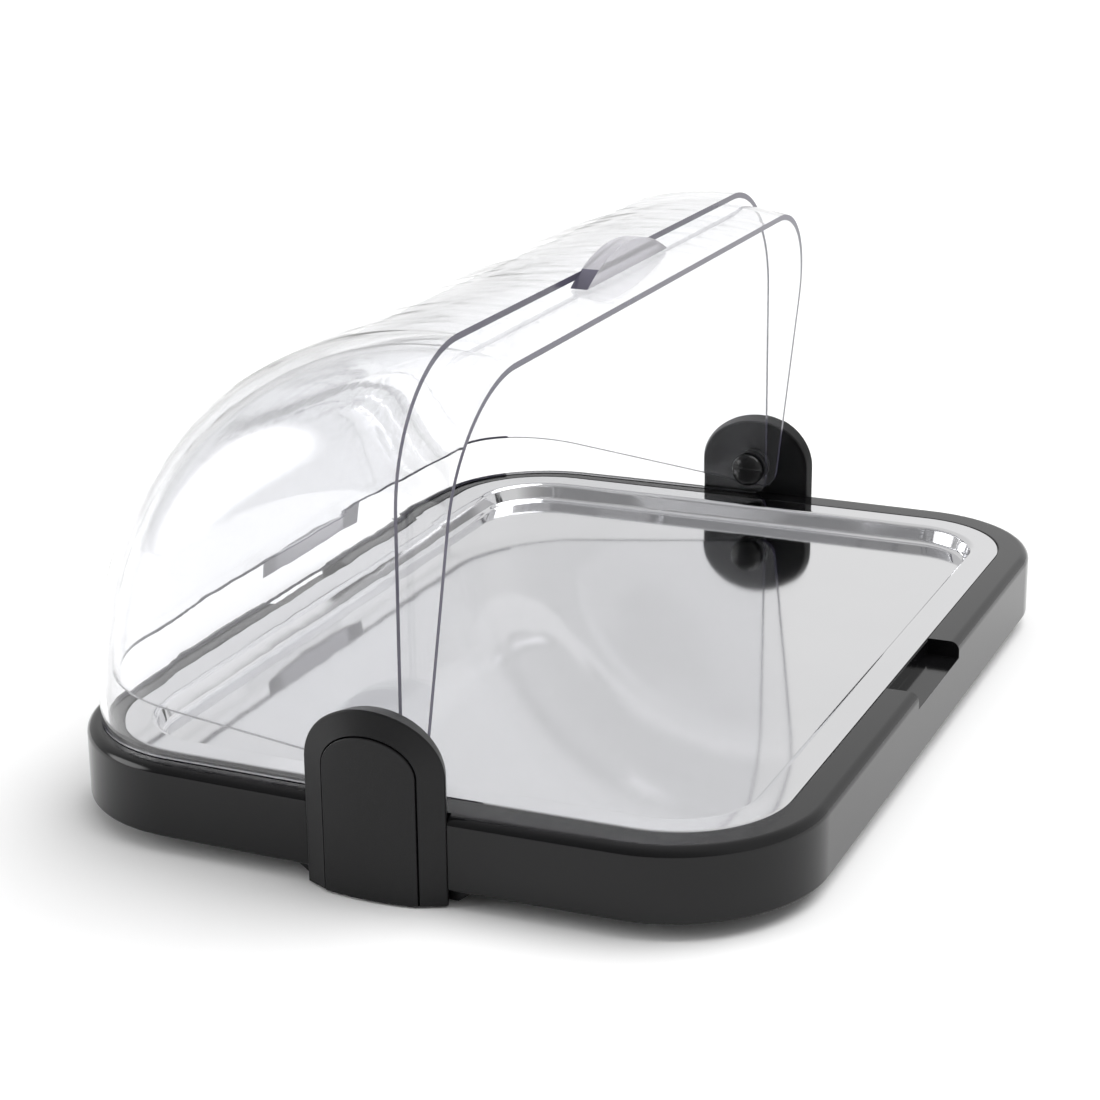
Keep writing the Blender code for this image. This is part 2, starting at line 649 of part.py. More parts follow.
def pivots(pin_surface, knob_surface, washer_surface):
    outer_face = wall_x_at_axis(0)
    inner_face = wall_x_at_axis(HOOD_NEST)
    inside = inner_face - HOOD_WALL
    for name, side in SIDES:
        bm = bmesh.new()
        far_end = outer_face - HOOD_WALL - WASHER_GAP
        ring(bm, WASHER_HOLE, WASHER_RADIUS, inner_face + WASHER_GAP, far_end, side)
        new_object(f"hood_washer_{name}", bm, washer_surface, (side * inner_face, 0, AXIS_Z))
        bm = bmesh.new()
        ring(bm, WASHER_HOLE, WASHER_RADIUS, outer_face + WASHER_GAP, BRACKET_BACK_X - WASHER_GAP, side)
        new_object(f"bracket_washer_{name}", bm, washer_surface, (side * outer_face, 0, AXIS_Z))
        bm = bmesh.new()
        tip = inside - KNOB_HEIGHT * PIN_IN_KNOB
        end = BRACKET_BACK_X + PIN_DEPTH
        profile = [(tip, 0), (tip, PIN_RADIUS), (end - PIN_EDGE, PIN_RADIUS)]
        profile += [(end, PIN_RADIUS - PIN_EDGE), (end, 0)]
        turned(bm, profile, (0, 0, AXIS_Z), (side, 0, 0), 18)
        new_object(f"pivot_pin_{name}", bm, pin_surface, (side * inside, 0, AXIS_Z))
        bm = bmesh.new()
        seat = inside - WASHER_GAP
        brim = seat - KNOB_BRIM
        rise = KNOB_HEIGHT - KNOB_BRIM
        dome = arc((0, 0), 1, 180, 90, 6)
        profile = [(brim + rise * along, KNOB_RADIUS * across) for along, across in dome]
        profile += [(seat, KNOB_RADIUS), (seat, WASHER_HOLE)]
        profile += [(tip - SEAT_GAP, WASHER_HOLE), (tip - SEAT_GAP, 0)]
        profile[0] = (profile[0][0], 0)
        turned(bm, profile, (0, 0, AXIS_Z), (side, 0, 0), 18)
        new_object(f"pivot_knob_{name}", bm, knob_surface, (side * inside, 0, AXIS_Z))


def arch_block(bm, side, half_width, rise, low, back, proud, draft=0, steps=19):
    """An arch plate made of upright strips; its outer face bulges like the bracket's, plus proud.

    The arch is smaller by the draft at its back.
    """
    narrow = 1 - draft / half_width
    strips = []
    for step in range(steps + 1):
        y = -half_width * cos(pi * step / steps)
        top = AXIS_Z + rise * sin(pi * step / steps)
        bulge = BRACKET_BULGE * (1 - (2 * y / BRACKET_WIDTH) ** 2)
        face = BRACKET_BACK_X + BRACKET_PLATE + bulge + proud
        corners = ((back, y * narrow, low), (back, y * narrow, top - draft), (face, y, top), (face, y, low))
        strips.append([bm.verts.new((side * x, wide, z)) for x, wide, z in corners])
    for first, second in zip(strips, strips[1:]):
        for i in range(4):
            j = (i + 1) % 4
            bm.faces.new((first[i], first[j], second[j], second[i]))
    bm.faces.new(strips[0])
    bm.faces.new(strips[-1])
    # the outer face's edge, without the bottom
    rim = [(a[2], b[2]) for a, b in zip(strips, strips[1:])]
    rim += [(strips[0][2], strips[0][3]), (strips[-1][2], strips[-1][3])]
    return [bm.edges.get(pair) for pair in rim]


def bracket(name, side, surface, screw_holes):
    half = BRACKET_WIDTH / 2
    bm = bmesh.new()
    edges = arch_block(bm, side, half, BRACKET_RISE, BRACKET_FLOOR, BRACKET_BACK_X, 0, BRACKET_DRAFT)
    bmesh.ops.bevel(bm, geom=edges, offset=BRACKET_BEVEL, segments=3, profile=0.6, affect="EDGES")
    made = new_object(f"bracket_{name}", bm, surface, (side * BRACKET_BACK_X, 0, AXIS_Z))
    recess = bmesh.new()
    inset = COVER_INSET - COVER_GROOVE
    back = BRACKET_BACK_X + BRACKET_PLATE - COVER_THICK
    arch_block(recess, side, half - inset, BRACKET_RISE - inset, -OVERCUT, back, OVERCUT)
    boolean(made, cutter(f"cover_recess_{name}", recess))
    bore = bmesh.new()
    end = BRACKET_BACK_X + PIN_DEPTH + SEAT_GAP
    hole = PIN_RADIUS + PIN_FIT
    start = BRACKET_BACK_X - WASHER_GAP
    turned(bore, [(start, 0), (start, hole), (end, hole), (end, 0)], (0, 0, AXIS_Z), (side, 0, 0), 18)
    boolean(made, cutter(f"pin_bore_{name}", bore))
    boolean(made, screw_holes)


def cover(name, side, surface):
    bm = bmesh.new()
    back = BRACKET_BACK_X + BRACKET_PLATE - COVER_THICK + SEAT_GAP
    half = BRACKET_WIDTH / 2 - COVER_INSET
    edges = arch_block(bm, side, half, BRACKET_RISE - COVER_INSET, BRACKET_FLOOR, back, COVER_PROUD)
    bmesh.ops.bevel(bm, geom=edges, offset=COVER_BEVEL, segments=2, profile=0.6, affect="EDGES")
    new_object(f"bracket_cover_{name}", bm, surface, (side * back, 0, AXIS_Z))


def clamp(name, side, surface, screw_holes):
    """The foot of the bracket: a wedge-ended bar screwed up against the underside of the base."""
    half = BRACKET_WIDTH / 2
    low, high = BRACKET_FLOOR, BASE_BOTTOM - SEAT_GAP
    outer = BRACKET_BACK_X - SEAT_GAP
    ends = [(-half - CLAMP_FLARE, high), (-half - CLAMP_SHOULDER, low)]
    ends += [(half + CLAMP_SHOULDER, low), (half + CLAMP_FLARE, high)]
    bm = bmesh.new()
    capped(bm, [[(side * x, y, z) for y, z in ends] for x in (outer - CLAMP_DEPTH, outer)])
    made = new_object(f"bracket_clamp_{name}", bm, surface, (side * outer, 0, high))
    boolean(made, screw_holes)


def main():
    clear_scene()
    black = material("gloss_black_plastic", (0.012, 0.012, 0.014), 0.22)
    satin = material("satin_black_plastic", (0.018, 0.018, 0.020), 0.38)
    steel = material("polished_steel", (0.80, 0.80, 0.81), 0.06, metallic=1.0)
    clear = material("clear_plastic", (0.95, 0.96, 0.98), 0.04, alpha=0.25)
    rubber = material("foot_rubber", (0.02, 0.02, 0.02), 0.8)
    zinc = material("screw_steel", (0.55, 0.55, 0.56), 0.35, metallic=1.0)
    nylon = material("washer_plastic", (0.020, 0.020, 0.021), 0.4)
    gel = material("pack_plastic", (0.10, 0.22, 0.55), 0.4)
    cap = material("plug_plastic", (0.9, 0.9, 0.9), 0.4)
    pockets = bracket_pocket_cutter()
    screw_holes = screw_hole_cutter()
    base_frame(black, pockets, screw_holes)
    base_pan(satin, pockets, screw_holes)
    feet(rubber)
    screws(zinc)
    steel_tray(steel)
    gel_packs(gel, cap)
    hoods(clear)
    pivots(zinc, black, nylon)
    for name, side in SIDES:
        bracket(name, side, satin, screw_holes)
        cover(name, side, satin)
        clamp(name, side, satin, screw_holes)


main()
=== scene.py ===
from math import asin, atan2, cos, degrees, hypot, pi, radians, sin, sqrt

import bmesh
import bpy
from mathutils import Matrix, Vector


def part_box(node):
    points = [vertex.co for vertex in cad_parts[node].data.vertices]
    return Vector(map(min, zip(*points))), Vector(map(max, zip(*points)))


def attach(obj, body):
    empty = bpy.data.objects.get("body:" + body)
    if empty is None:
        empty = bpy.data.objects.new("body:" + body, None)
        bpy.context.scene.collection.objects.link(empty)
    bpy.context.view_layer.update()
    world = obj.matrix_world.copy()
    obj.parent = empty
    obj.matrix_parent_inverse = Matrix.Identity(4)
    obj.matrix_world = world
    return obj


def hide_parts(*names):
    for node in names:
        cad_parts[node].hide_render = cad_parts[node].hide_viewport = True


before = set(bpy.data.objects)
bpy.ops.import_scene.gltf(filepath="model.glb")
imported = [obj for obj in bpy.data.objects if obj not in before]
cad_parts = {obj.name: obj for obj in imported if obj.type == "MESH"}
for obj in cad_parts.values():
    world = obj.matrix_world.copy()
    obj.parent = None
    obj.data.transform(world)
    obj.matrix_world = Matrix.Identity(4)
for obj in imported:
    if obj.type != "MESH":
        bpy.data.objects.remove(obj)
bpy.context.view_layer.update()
print("frame loaded:", len(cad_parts), "nodes")

sides = (("left", -1), ("right", 1))
seatGap = 0.0003  # between neighbouring pieces
tiny = 1e-9


# Shader building

class Wire:
    # one output socket; arithmetic on it adds Math nodes

    def __init__(self, board, socket):
        self.board = board
        self.socket = socket

    def maths(self, operation, first, second):
        return self.board.add("ShaderNodeMath", {"operation": operation}, {0: first, 1: second})

    def __add__(self, other):
        return self.maths("ADD", self, other)

    __radd__ = __add__

    def __sub__(self, other):
        return self.maths("SUBTRACT", self, other)

    def __rsub__(self, other):
        return self.maths("SUBTRACT", other, self)

    def __mul__(self, other):
        return self.maths("MULTIPLY", self, other)

    __rmul__ = __mul__


class Board:
    # a node tree; every node but the shader comes from add

    def __init__(self, tree):
        self.tree = tree

    def add(self, kind, settings=None, values=None, out=0):
        node = self.tree.nodes.new(kind)
        for key, value in (settings or {}).items():
            if key == "stops":
                self.setStops(node.color_ramp, value)
            elif key == "blend":
                node.color_ramp.interpolation = value
            else:
                setattr(node, key, value)
        for key, value in (values or {}).items():
            self.plug(node.inputs[key], value)
        return Wire(self, node.outputs[out])

    def setStops(self, ramp, stops):
        while len(ramp.elements) < len(stops):
            ramp.elements.new(1)
        for element, (position, colour) in zip(ramp.elements, stops):
            element.position = position
            element.color = colour

    def plug(self, socket, value):
        if isinstance(value, Wire):
            self.tree.links.new(value.socket, socket)
        else:
            socket.default_value = value


class Finish(Board):
    # a material and its Principled shader

    def __init__(self, name, slot, **fixed):
        self.slot = slot
        self.material = bpy.data.materials.new(name)
        self.material.use_nodes = True
        super().__init__(self.material.node_tree)
        self.shader = self.tree.nodes["Principled BSDF"]
        for key, value in fixed.items():
            self.shader.inputs[key.replace("_", " ")].default_value = value

    def feed(self, **inputs):
        for key, value in inputs.items():
            self.plug(self.shader.inputs[key.replace("_", " ")], value)

    def place(self):
        return self.add("ShaderNodeTexCoord", out="Object")

    def noise(self, scale, detail=3.0, rough=0.55, stretch=(1, 1, 1)):
        where = self.add("ShaderNodeMapping", {}, {"Vector": self.place(), "Scale": stretch})
        values = {"Vector": where, "Scale": scale, "Detail": detail, "Roughness": rough}
        return self.add("ShaderNodeTexNoise", {}, values)

    def shades(self, mask, first, second):
        values = {"Factor": mask, 6: (*first, 1), 7: (*second, 1)}  # 6 and 7 are the colour sockets
        return self.add("ShaderNodeMix", {"data_type": "RGBA"}, values, out=2)

    def bump(self, height, strength, distance):
        return self.add("ShaderNodeBump", {}, {"Strength": strength, "Distance": distance, "Height": height})


def faded(colour, share):
    return tuple(share * level for level in colour)


glossBlackLook = {"dark": (0.0034, 0.0034, 0.0038), "light": (0.0055, 0.0055, 0.0060), "index": 1.38,
                  "roughness": 0.08, "smudge": 0.06, "cloudScale": 9, "grainScale": 900, "flowScale": 34,
                  "grainShare": 0.3, "bump": 0.06, "bumpDepth": 0.0004}


def glossBlackFinish():
    look = glossBlackLook
    made = Finish("glossBlackMoulding", "gloss_black", IOR=look["index"])
    cloud = made.noise(look["cloudScale"], 4)
    grain = made.noise(look["grainScale"], 2)
    flow = made.noise(look["flowScale"], 3, stretch=(1, 1, 3))
    made.feed(Base_Color=made.shades(cloud, look["dark"], look["light"]))
    made.feed(Roughness=look["roughness"] + (cloud + flow) * (look["smudge"] / 2))
    height = grain * look["grainShare"] + flow * (1 - look["grainShare"])
    made.feed(Normal=made.bump(height, look["bump"], look["bumpDepth"]))
    return made


satinBlackLook = {"dark": (0.0042, 0.0042, 0.0048), "light": (0.0065, 0.0065, 0.0072), "index": 1.36,
                  "roughness": 0.30, "variation": 0.12, "cloudScale": 14, "grainScale": 1500,
                  "bump": 0.16, "bumpDepth": 0.0003}


def satinBlackFinish():
    look = satinBlackLook
    made = Finish("satinBlackMoulding", "satin_black", IOR=look["index"])
    cloud = made.noise(look["cloudScale"], 4)
    grain = made.noise(look["grainScale"], 2)
    made.feed(Base_Color=made.shades(cloud, look["dark"], look["light"]))
    made.feed(Roughness=look["roughness"] + cloud * look["variation"])
    made.feed(Normal=made.bump(grain, look["bump"], look["bumpDepth"]))
    return made


steelLook = {"dark": (0.69, 0.69, 0.70), "light": (0.75, 0.75, 0.76), "roughness": 0.045, "smudge": 0.045,
             "cloudScale": 7, "cloudShare": 0.7, "fineScale": 240, "waveScale": 26,
             "bump": 0.05, "bumpDepth": 0.0006}


def steelFinish():
    look = steelLook
    made = Finish("polishedSteel", "steel", Metallic=1.0)
    cloud = made.noise(look["cloudScale"], 5, 0.6)
    fine = made.noise(look["fineScale"], 3, stretch=(1, 6, 1))
    wave = made.noise(look["waveScale"], 2)
    smudge = fine + (cloud - fine) * look["cloudShare"]
    made.feed(Base_Color=made.shades(cloud, look["dark"], look["light"]))
    made.feed(Roughness=look["roughness"] + smudge * look["smudge"])
    made.feed(Normal=made.bump(wave, look["bump"], look["bumpDepth"]))
    return made


clearLook = {"tintAndShade": (0.985, 0.987, 0.995), "fade": 0.99, "index": 1.49, "haze": 0.012, "cloudScale": 6,
             "slowRipple": 11, "fineRipple": 80, "fineShare": 0.28, "bump": 0.26, "bumpDepth": 0.001}


def clearFinish():
    look = clearLook
    made = Finish("clearMoulding", "clear", IOR=look["index"], Transmission_Weight=1.0)
    cloud = made.noise(look["cloudScale"], 4)
    slow = made.noise(look["slowRipple"], 1)
    fine = made.noise(look["fineRipple"], 1, stretch=(1, 0.5, 1))
    ripple = slow * (1 - look["fineShare"]) + fine * look["fineShare"]
    made.feed(Base_Color=made.shades(cloud, look["tintAndShade"], faded(look["tintAndShade"], look["fade"])))
    made.feed(Roughness=cloud * look["haze"])
    made.feed(Normal=made.bump(ripple, look["bump"], look["bumpDepth"]))
    return made


# Painted shade on clear plastic with less show-through: cut edges are painted dark violet for the shade that
# refraction and long paths through the plastic give them, and the grip is painted pale grey for the look of
# light through its thick clear block
paintedShadeLooks = {
    "paintedEdgeShade": {"name": "clearCutEdgePaintedShade", "tintAndShade": (0.105, 0.098, 0.145), "fade": 0.75, "index": 1.49,
                  "through": 0.15, "cloudScale": 40, "roughness": 0.10, "variation": 0.10},
    "gripTab": {"name": "gripPaintedShade", "tintAndShade": (0.74, 0.73, 0.77), "fade": 0.94, "index": 1.30,
                "through": 0.55, "cloudScale": 25, "roughness": 0.20, "variation": 0.08},
}


def tintedFinish(look):
    made = Finish(look["name"], "clear", IOR=look["index"], Transmission_Weight=look["through"])
    cloud = made.noise(look["cloudScale"], 3)
    # painted shade: a dark or grey base colour with lower transmission, not a real tint of the plastic
    made.feed(Base_Color=made.shades(cloud, look["tintAndShade"], faded(look["tintAndShade"], look["fade"])))
    made.feed(Roughness=look["roughness"] + cloud * look["variation"])
    return made


# slot: name, dark and light colour, roughness and its variation, metallic, grain scale
plainLooks = {
    "rubber": ("footRubber", (0.016, 0.016, 0.016), (0.026, 0.026, 0.025), 0.70, 0.15, 0.0, 600),
    "zinc": ("zincPlate", (0.50, 0.50, 0.51), (0.62, 0.62, 0.63), 0.26, 0.16, 1.0, 400),
    "nylon": ("blackNylon", (0.014, 0.014, 0.015), (0.022, 0.022, 0.023), 0.38, 0.12, 0.0, 500),
    "gel_case": ("blueCase", (0.07, 0.17, 0.46), (0.11, 0.24, 0.58), 0.36, 0.14, 0.0, 300),
    "plug": ("whiteCap", (0.82, 0.82, 0.82), (0.90, 0.90, 0.90), 0.36, 0.12, 0.0, 500),
}
plainGrain = {"cloudScale": 30, "bump": 0.15, "bumpDepth": 0.0003}


def plainFinish(slot):
    name, dark, light, roughness, variation, metallic, scale = plainLooks[slot]
    made = Finish(name, slot, Metallic=metallic)
    cloud = made.noise(plainGrain["cloudScale"], 4)
    made.feed(Base_Color=made.shades(cloud, dark, light))
    made.feed(Roughness=roughness + cloud * variation)
    made.feed(Normal=made.bump(made.noise(scale, 2), plainGrain["bump"], plainGrain["bumpDepth"]))
    return made


finishes = {"gloss": glossBlackFinish(), "satin": satinBlackFinish(), "steel": steelFinish()}
finishes["clear"] = clearFinish()
finishes.update({key: tintedFinish(look) for key, look in paintedShadeLooks.items()})
finishes.update({slot: plainFinish(slot) for slot in plainLooks})
print("finishes made:", len(finishes))


# Mesh helpers

def settle(obj, helpers):
    # bake the modifiers into the mesh and drop the helper objects
    bpy.context.view_layer.update()
    graph = bpy.context.evaluated_depsgraph_get()
    mesh = bpy.data.meshes.new_from_object(obj.evaluated_get(graph))
    obj.modifiers.clear()
    obj.data = mesh
    for helper in helpers:
        bpy.data.objects.remove(helper, do_unlink=True)


def linked(name, bm):
    bmesh.ops.recalc_face_normals(bm, faces=bm.faces)
    mesh = bpy.data.meshes.new(name)
    bm.to_mesh(mesh)
    bm.free()
    obj = bpy.data.objects.new(name, mesh)
    bpy.context.scene.collection.objects.link(obj)
    return obj


def dress(obj, finish, body, replaced, angle=34):
    obj.data.shade_smooth()
    obj.data.set_sharp_from_angle(angle=radians(angle))
    evened = obj.modifiers.new("evened", "WEIGHTED_NORMAL")
    evened.keep_sharp = True
    if not obj.data.materials:
        obj.data.materials.append(finishes[finish].material)
    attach(obj, body)
    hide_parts(*replaced)
    return obj


def cut(obj, others, operation="DIFFERENCE"):
    for other in others:
        step = obj.modifiers.new("cut", "BOOLEAN")
        step.operation = operation
        step.object = other
        step.solver = "EXACT"


def softenEdges(obj, width, segments=2, angle=50):
    step = obj.modifiers.new("softEdges", "BEVEL")
    step.width = width
    step.segments = segments
    step.limit_method = "ANGLE"
    step.angle_limit = radians(angle)
    step.use_clamp_overlap = True


def blocks(name, boxes):
    bm = bmesh.new()
    for low, high in boxes:
        centre = (Vector(low) + Vector(high)) / 2
        size = Vector(high) - Vector(low)
        bmesh.ops.create_cube(bm, size=1, matrix=Matrix.Translation(centre) @ Matrix.Diagonal((*size, 1)))
    return linked(name, bm)


def arc(centre, radius, start, end, steps):
    angles = [radians(start + (end - start) * i / steps) for i in range(steps + 1)]
    return [(centre[0] + radius * cos(a), centre[1] + radius * sin(a)) for a in angles]


def joinRings(bm, first, second, closed=True):
    count = len(first)
    for i in range(count if closed else count - 1):
        j = (i + 1) % count
        bm.faces.new((first[i], first[j], second[j], second[i]))


def addLoops(bm, loops):
    rings = [[bm.verts.new(point) for point in loop] for loop in loops]
    for first, second in zip(rings, rings[1:]):
        joinRings(bm, first, second)
    return rings


def turned(name, profile, centre, axis, steps=64):
    # turn (distance along the axis, radius) points round the axis
    turn = Vector(axis).to_track_quat("Z", "Y").to_matrix().to_4x4()
    placed = Matrix.Translation(Vector(centre)) @ turn
    bm = bmesh.new()
    rings = []
    for along, radius in profile:
        count = steps if radius > tiny else 1
        ring = []
        for i in range(count):
            angle = 2 * pi * i / steps
            ring.append(bm.verts.new(placed @ Vector((radius * cos(angle), radius * sin(angle), along))))
        rings.append(ring)
    hollow = profile[0][1] > tiny and profile[-1][1] > tiny
    for first, second in list(zip(rings, rings[1:])) + ([(rings[-1], rings[0])] if hollow else []):
        for i in range(steps):
            j = (i + 1) % steps
            corners = []
            for vert in (first[i % len(first)], first[j % len(first)],
                         second[j % len(second)], second[i % len(second)]):
                if vert not in corners:
                    corners.append(vert)
            bm.faces.new(corners)
    return linked(name, bm)


# Base

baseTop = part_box("base_frame")[1].z
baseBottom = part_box("base_frame")[0].z
axisZ = (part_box("pivot_pin_left")[0].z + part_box("pivot_pin_left")[1].z) / 2
bracketBack = abs(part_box("bracket_right")[0].x)

baseLook = {"length": 0.440, "width": 0.320, "corner": 0.062, "endBow": 0.0035, "seamBow": 0.0010,
            "ledge": 0.0146, "topRound": 0.0042, "seamRound": 0.0006, "lipRound": 0.0010, "lipWall": 0.0021,
            "wall": 0.0026, "shelf": 0.0110, "shelfDrop": 0.0011, "shelfThick": 0.0024, "panRecess": 0.0025,
            "notchLength": 0.066, "notchDepth": 0.0075, "pocket": 0.0603, "edgeRound": 0.0005}
cutBeyond = 0.010  # cutters reach past the faces that they open


def planOutline(inset, cornerSteps=32, endSteps=24):
    # the base's plan outline moved in by inset
    size = baseLook
    halfX = size["length"] / 2 - inset
    halfY = size["width"] / 2 - inset
    corner = size["corner"] - inset
    points = []
    for signX, signY, start in ((1, 1, 0), (-1, 1, 90), (-1, -1, 180), (1, -1, 270)):
        centre = (signX * (halfX - corner), signY * (halfY - corner))
        points += arc(centre, corner, start, start + 90, cornerSteps)
        if signX == -signY:
            side = halfY - corner
            for step in range(1, endSteps):
                points.append((signX * halfX, signY * side * (1 - 2 * step / endSteps)))
    bow = size["endBow"] + (size["seamBow"] - size["endBow"]) * min(inset / size["ledge"], 1)
    return [(x + bow * (1 - (y / halfY) ** 2) * x / halfX, y) for x, y in points]


def ringRoundBase(bm, profile):
    rings = addLoops(bm, [[(x, y, z) for x, y in planOutline(inset)] for inset, z in profile])
    joinRings(bm, rings[-1], rings[0])


def makeBase():
    size = baseLook
    ledge, wall, shelf = size["ledge"], size["wall"], size["shelf"]
    shelfTop = baseTop - size["shelfDrop"]
    shelfUnder = shelfTop - size["shelfThick"]
    panSeat = baseBottom + size["panRecess"]
    lip, top, seam = size["lipRound"], size["topRound"], size["seamRound"]
    profile = arc((lip, baseBottom + lip), lip, 270, 180, 4)
    profile += arc((top, baseTop - top), top, 180, 90, 12)
    profile += arc((ledge - seam, baseTop - seam), seam, 90, 0, 3)
    profile += [(ledge, shelfTop), (ledge + shelf, shelfTop), (ledge + shelf, shelfUnder)]
    profile += [(ledge + wall, shelfUnder), (ledge + wall, panSeat), (size["lipWall"], panSeat)]
    profile += [(size["lipWall"], baseBottom)]
    bm = bmesh.new()
    ringRoundBase(bm, profile)
    shell = linked("baseShell", bm)
    half = size["width"] / 2
    long = size["notchLength"] / 2
    pocket = size["pocket"] / 2
    notches = []
    pockets = []
    for _, side in sides:
        ys = sorted((side * (half - ledge), side * (half + cutBeyond)))
        notches.append(((-long, ys[0], baseTop - size["notchDepth"]), (long, ys[1], baseTop + cutBeyond)))
        xs = sorted((side * (bracketBack - seatGap), side * (bracketBack + 3 * cutBeyond)))
        pockets.append(((xs[0], -pocket, -cutBeyond), (xs[1], pocket, baseTop + 2 * cutBeyond)))
    helpers = [blocks("notches", notches), blocks("pockets", pockets)]
    cut(shell, helpers)
    softenEdges(shell, size["edgeRound"])
    settle(shell, helpers)
    dress(shell, "gloss", "base", ["base_frame"])


makeBase()
print("base made")


# Steel tray

trayLook = {"gap": 0.0005, "rim": 0.0125, "depth": 0.0085, "slope": 0.0045, "bend": 0.0034,
            "bendShift": 0.45, "sheet": 0.0008, "edgeRound": 0.0004}


def makeTray():
    size = trayLook
    start = baseLook["ledge"] + size["gap"]
    bendAt = start + size["rim"]
    footAt = bendAt + size["slope"]
    floor = baseTop - size["depth"]
    bend = size["bend"]
    shift = bend * size["bendShift"]
    edge = size["edgeRound"]
    turn = degrees(atan2(size["slope"], size["depth"]))
    upper = arc((bendAt - shift, baseTop - bend), bend, 90, turn, 8)
    lower = arc((footAt + shift, floor + bend), bend, 180 + turn, 270, 8)
    top = [(start, baseTop - edge), (start + edge, baseTop)] + upper + lower
    under = []
    for i, point in enumerate(top):
        before = Vector(top[max(i - 1, 0)])
        after = Vector(top[min(i + 1, len(top) - 1)])
        along = (after - before).normalized()
        under.append((point[0] + along.y * size["sheet"], point[1] - along.x * size["sheet"]))
    under[0] = (start, baseTop - size["sheet"])
    loops = [[(x, y, z) for x, y in planOutline(inset)] for inset, z in list(reversed(top)) + under]
    bm = bmesh.new()
    rings = addLoops(bm, loops)
    bm.faces.new(rings[0])
    bm.faces.new(rings[-1])
    tray = linked("steelTray", bm)
    dress(tray, "steel", "tray", ["steel_tray"], 40)


makeTray()
print("tray made")


# Hoods

hoodLook = {"radius": 0.1550, "halfLength": 0.2150, "corner": 0.058, "draft": 0.012, "wall": 0.0028,
            "nest": 0.0061, "drop": 0.0150, "raised": 6.5, "tabThick": 0.0075, "tabLength": 0.094,
            "tabDrop": 0.0029, "tabRise": 0.0065, "innerTabClear": 0.0016, "tabRoot": 0.0006, "tabEnd": 0.72,
            "tabRound": 0.0004, "hole": 0.0032, "around": 96, "cornerSteps": 26, "sideSteps": 10,
            "rimSteps": 24, "rimSpacing": 0.0008, "tabSteps": 48, "edgeRound": 0.0005, "edgeStrip": 0.0006}


def hoodRows(radius, halfLength, corner):
    # (x, radius) rows from the left pivot over the top to the right pivot
    look = hoodLook
    straight = radius - corner
    side = []
    for step in range(look["sideSteps"]):
        row = look["drop"] + (straight - look["drop"]) * step / look["sideSteps"]
        side.append((halfLength + look["draft"] * (straight - row), row))
    side += arc((halfLength - corner, straight), corner, 0, 90, look["cornerSteps"])
    return [(-x, row) for x, row in side] + [(x, row) for x, row in reversed(side)]


def hoodRim(rear, front):
    # the free edge under the pivot, from the front cut to the rear cut, in (y, z)
    reach = hoodLook["drop"]
    roundBy = min(rear, front)
    start = (-front, sqrt(max(reach**2 - front**2, 0)))
    end = (sqrt(max(reach**2 - rear**2, 0)), -rear)
    points = [start]
    for target in arc((-front + roundBy, -rear + roundBy), roundBy, 180, 270, hoodLook["rimSteps"]) + [end]:
        origin = points[-1]
        ahead = (target[0] - origin[0], target[1] - origin[1])
        pieces = max(1, int(hypot(*ahead) / hoodLook["rimSpacing"]))
        for piece in range(1, pieces + 1):
            share = piece / pieces
            points.append((origin[0] + ahead[0] * share, origin[1] + ahead[1] * share))
    return points[1:-1]


def hoodSkin(radius, halfLength, corner, rear, front):
    around = hoodLook["around"]
    rows = hoodRows(radius, halfLength, corner)
    points = []
    for x, row in rows:
        start = -asin(min(rear / row, 1))
        end = pi / 2 + asin(min(front / row, 1))
        turns = [start + (end - start) * step / around for step in range(around + 1)]
        turns[1] = start + hoodLook["edgeStrip"] / row
        for angle in turns:
            points.append((x, row * cos(angle), row * sin(angle)))
    rim = hoodRim(rear, front)
    width = around + 1
    for x, first in ((rows[0][0], 0), (rows[-1][0], (len(rows) - 1) * width)):
        points += [(x, y, z) for y, z in rim]
        loop = [point[1:] for point in points[first:first + width]] + rim
        for y, z in loop:
            angle = atan2(z, y)
            points.append((x, hoodLook["hole"] * cos(angle), hoodLook["hole"] * sin(angle)))
    return points, len(rows), len(rim)


def hoodFaces(rows, rim):
    around = hoodLook["around"]
    width = around + 1
    faces = []
    for row in range(rows - 1):
        for step in range(around):
            a = row * width + step
            faces.append([a, a + 1, a + 1 + width, a + width])
    base = rows * width
    for first, flip in ((0, False), ((rows - 1) * width, True)):
        loop = list(range(first, first + width)) + list(range(base, base + rim))
        hole = list(range(base + rim, base + rim + len(loop)))
        for i in range(len(loop)):
            j = (i + 1) % len(loop)
            face = [loop[i], hole[i], hole[j], loop[j]]
            faces.append(face if flip else face[::-1])
        base += rim + len(loop)
    return faces


def gripTab(radius, drop, rise):
    # half-moon grip standing ahead of the cut edge, in the hood's own frame
    look = hoodLook
    low = radius - look["wall"] - drop
    high = radius + rise
    half = look["tabLength"] / 2
    bow = high - low
    archRadius = (half**2 + bow**2) / (2 * bow)
    spread = asin(half / archRadius)
    centre = high - archRadius
    outline = []
    for step in range(look["tabSteps"] + 1):
        angle = -spread + 2 * spread * step / look["tabSteps"]
        outline.append((archRadius * sin(angle), centre + archRadius * cos(angle)))
    near = look["tabThick"] - look["drop"] + look["tabRoot"]
    bm = bmesh.new()
    rings = addLoops(bm, [[(x, y, z) for x, z in outline] for y in (near, -look["drop"])])
    # painted shade: the arc ends take the dark edge shade, the front and back the painted pale grey grip
    # shade
    for face in bm.faces:
        face.material_index = 1 if abs(face.calc_center_median().x) > half * look["tabEnd"] else 2
    for ring in (rings[0], rings[-1]):
        bm.faces.new(ring).material_index = 2
    return bm


